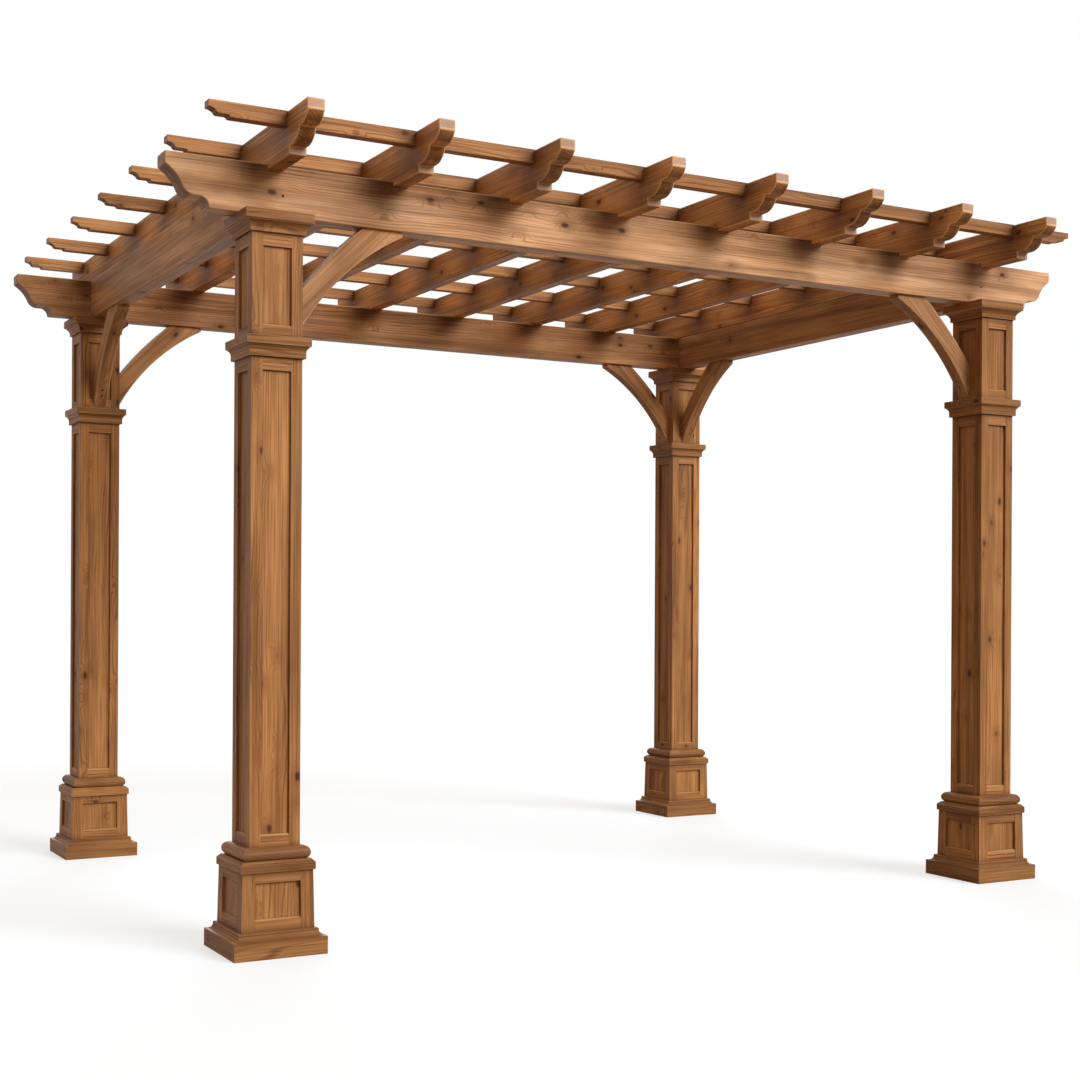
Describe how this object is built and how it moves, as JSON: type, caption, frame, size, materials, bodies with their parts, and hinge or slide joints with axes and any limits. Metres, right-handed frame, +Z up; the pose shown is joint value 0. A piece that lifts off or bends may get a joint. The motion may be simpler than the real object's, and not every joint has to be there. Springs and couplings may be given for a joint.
{
  "type": "wooden pergola",
  "caption": "Open garden pergola of stained timber: panelled square columns on plinths carry scroll-ended beams, notched rafters and slats, with curved knee braces.",
  "frame": {"origin": "on the ground, midway between the four columns", "axes": "+X along the front beam to the right, +Y from the front to the back, +Z up"},
  "size_m": [4.12, 3.3, 2.8765],
  "materials": {
    "posts": "satin brown exterior stain on softwood",
    "pedestals": "satin brown exterior stain on softwood",
    "mouldings": "satin brown exterior stain on softwood",
    "beams": "satin brown exterior stain on softwood",
    "braces": "satin brown exterior stain on softwood",
    "rafters": "satin brown exterior stain on softwood",
    "slats": "satin brown exterior stain on softwood"
  },
  "bodies": {
    "root": {"front_left_plinth": "mouldings", "front_left_pedestal": "pedestals", "front_left_surbase": "mouldings", "front_left_post": "posts", "front_left_collar": "mouldings", "front_left_capital": "mouldings", "front_right_plinth": "mouldings", "front_right_pedestal": "pedestals", "front_right_surbase": "mouldings", "front_right_post": "posts", "front_right_collar": "mouldings", "front_right_capital": "mouldings", "back_left_plinth": "mouldings", "back_left_pedestal": "pedestals", "back_left_surbase": "mouldings", "back_left_post": "posts", "back_left_collar": "mouldings", "back_left_capital": "mouldings", "back_right_plinth": "mouldings", "back_right_pedestal": "pedestals", "back_right_surbase": "mouldings", "back_right_post": "posts", "back_right_collar": "mouldings", "back_right_capital": "mouldings", "front_beam": "beams", "back_beam": "beams", "left_beam": "beams", "right_beam": "beams", "front_left_brace": "braces", "front_right_brace": "braces", "back_left_brace": "braces", "back_right_brace": "braces", "back_left_side_brace": "braces", "back_right_side_brace": "braces", "rafter_1": "rafters", "rafter_2": "rafters", "rafter_3": "rafters", "rafter_4": "rafters", "rafter_5": "rafters", "rafter_6": "rafters", "rafter_7": "rafters", "rafter_8": "rafters", "slat_1": "slats", "slat_2": "slats", "slat_3": "slats", "slat_4": "slats", "slat_5": "slats", "slat_6": "slats", "slat_7": "slats"}
  },
  "joints": []
}
